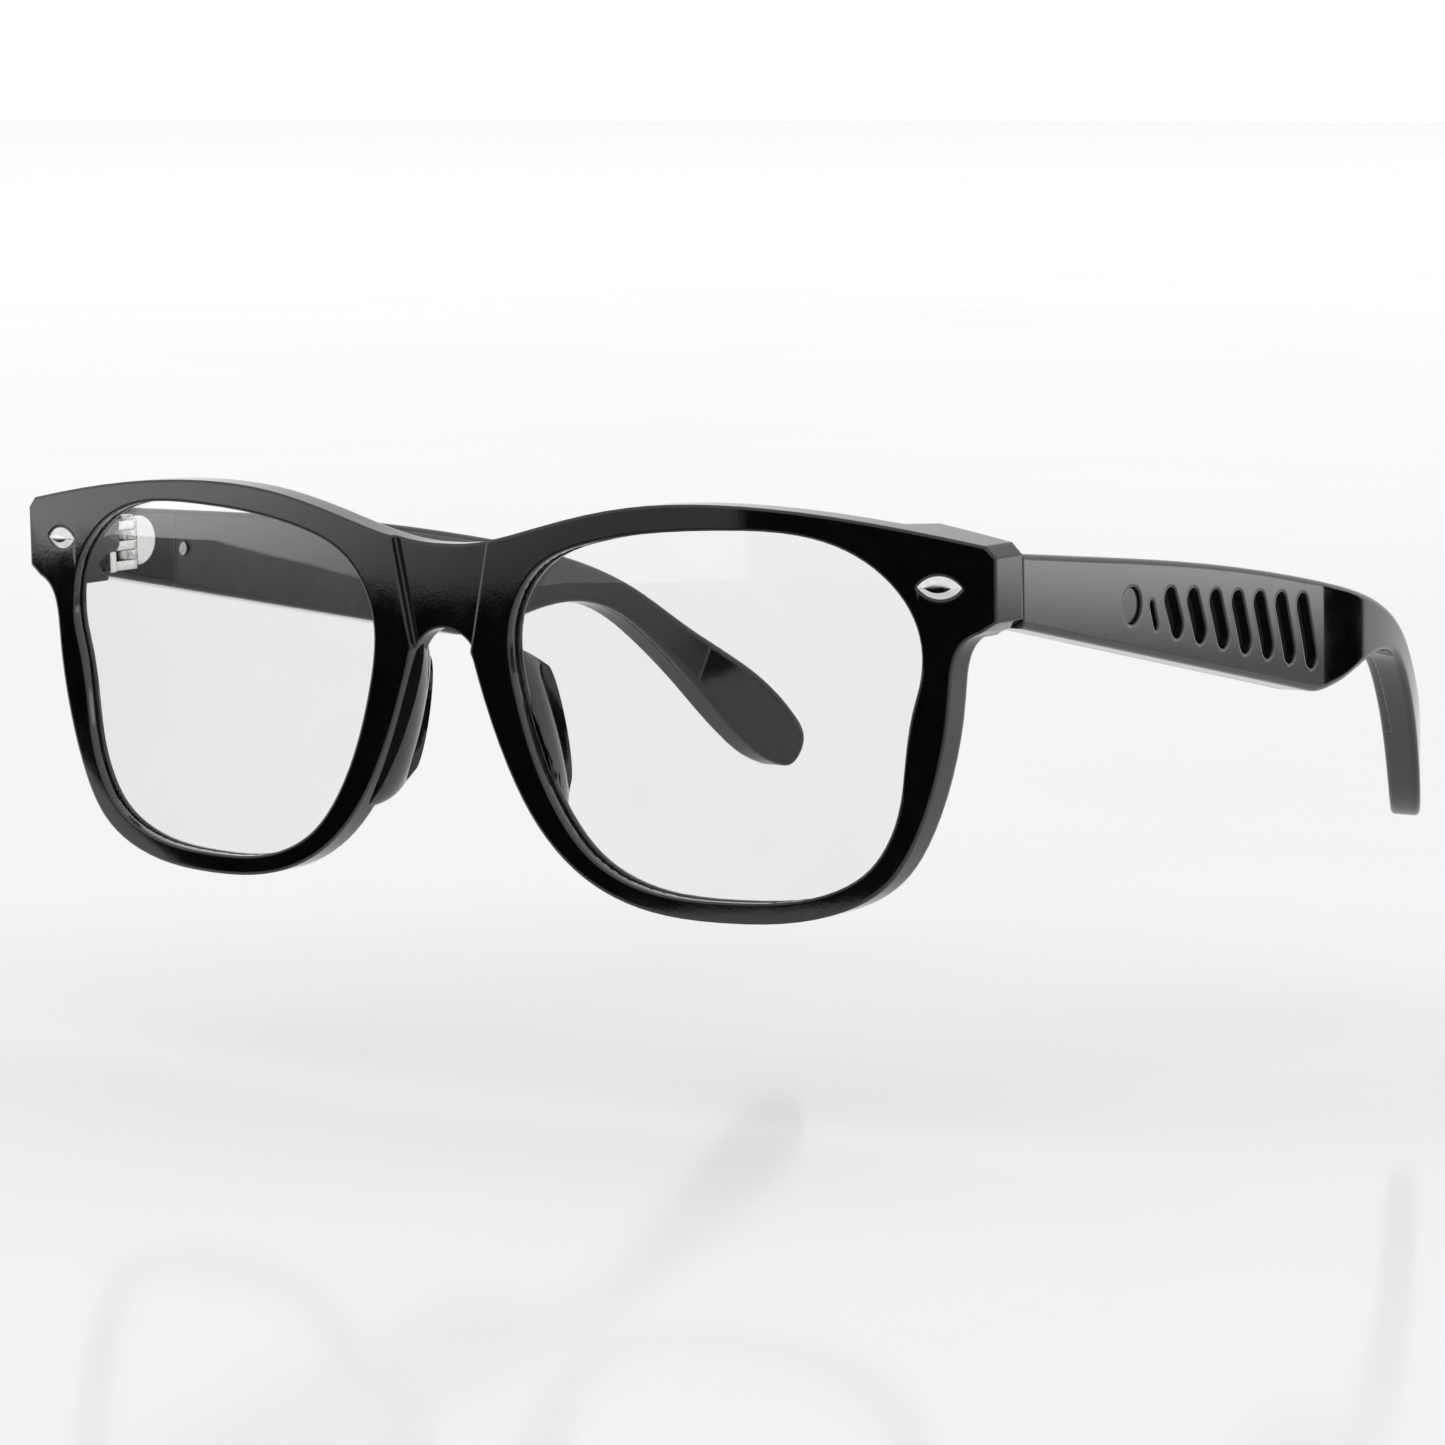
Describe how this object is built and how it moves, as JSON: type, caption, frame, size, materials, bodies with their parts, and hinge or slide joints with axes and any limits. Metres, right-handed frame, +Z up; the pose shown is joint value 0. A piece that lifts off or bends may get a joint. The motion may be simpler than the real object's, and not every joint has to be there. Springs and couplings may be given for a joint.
{
  "type": "smart glasses",
  "caption": "Glossy black eyeglasses with clear lenses, folding temples that hold audio electronics behind louvred slots, and small press buttons.",
  "frame": {"origin": "middle of the bottom of the bounding box, on the surface that the open glasses stand on", "axes": "+X towards the wearer's left, +Y from the front towards the ears, +Z up"},
  "size_m": [0.147, 0.1394, 0.0483],
  "materials": {
    "frame_gloss": "polished black",
    "lens_clear": "clear, coated",
    "pad_gloss": "polished black",
    "trim_polished": "polished",
    "hinge_metal": "satin",
    "screw_metal": "satin",
    "temple_gloss": "polished black",
    "cover_gloss": "polished black",
    "contact_gold": "gold plated",
    "mesh_dark": "fine woven black",
    "speaker_metal": "matt",
    "battery_foil": "foil",
    "board_green": "solder resist",
    "microphone_metal": "satin",
    "switch_metal": "satin",
    "button_gloss": "polished black"
  },
  "bodies": {
    "front": {"front_frame": "frame_gloss", "lens_left": "lens_clear", "lens_right": "lens_clear", "nose_pad_left": "pad_gloss", "nose_pad_right": "pad_gloss", "trim_left": "trim_polished", "trim_right": "trim_polished", "hinge_front_left": "hinge_metal", "hinge_front_right": "hinge_metal", "hinge_screw_left": "screw_metal", "hinge_screw_right": "screw_metal"},
    "left_temple": {"hinge_temple_left": "hinge_metal", "temple_shell_left": "temple_gloss", "inner_cover_left": "cover_gloss", "cover_screws_left": "screw_metal", "charging_contacts_left": "contact_gold", "vent_mesh_left": "mesh_dark", "speaker_left": "speaker_metal", "battery_left": "battery_foil", "circuit_board_left": "board_green", "microphone_left": "microphone_metal", "button_switch_left": "switch_metal"},
    "right_temple": {"hinge_temple_right": "hinge_metal", "temple_shell_right": "temple_gloss", "inner_cover_right": "cover_gloss", "cover_screws_right": "screw_metal", "charging_contacts_right": "contact_gold", "vent_mesh_right": "mesh_dark", "speaker_right": "speaker_metal", "battery_right": "battery_foil", "circuit_board_right": "board_green", "microphone_right": "microphone_metal", "button_switch_right": "switch_metal"},
    "left_button": {"button_left": "button_gloss"},
    "right_button": {"button_right": "button_gloss"}
  },
  "joints": [
    {"name": "left_temple_fold", "type": "hinge", "parent": "front", "child": "left_temple", "pos_m": [0.0655, -0.05163, 0.03839], "axis": [0, -0.0246, 0.9997], "range_deg": [0, 84]},
    {"name": "right_temple_fold", "type": "hinge", "parent": "front", "child": "right_temple", "pos_m": [-0.0655, -0.05163, 0.03839], "axis": [0, 0.0246, -0.9997], "range_deg": [0, 66]},
    {"name": "left_button_press", "type": "slide", "parent": "left_temple", "child": "left_button", "axis": [-0.9986, -0.0535, -0.0013], "range_m": [0, 0.00025], "stiffness_N_per_m": 1500},
    {"name": "right_button_press", "type": "slide", "parent": "right_temple", "child": "right_button", "axis": [0.9986, -0.0535, -0.0013], "range_m": [0, 0.00025], "stiffness_N_per_m": 1500}
  ]
}
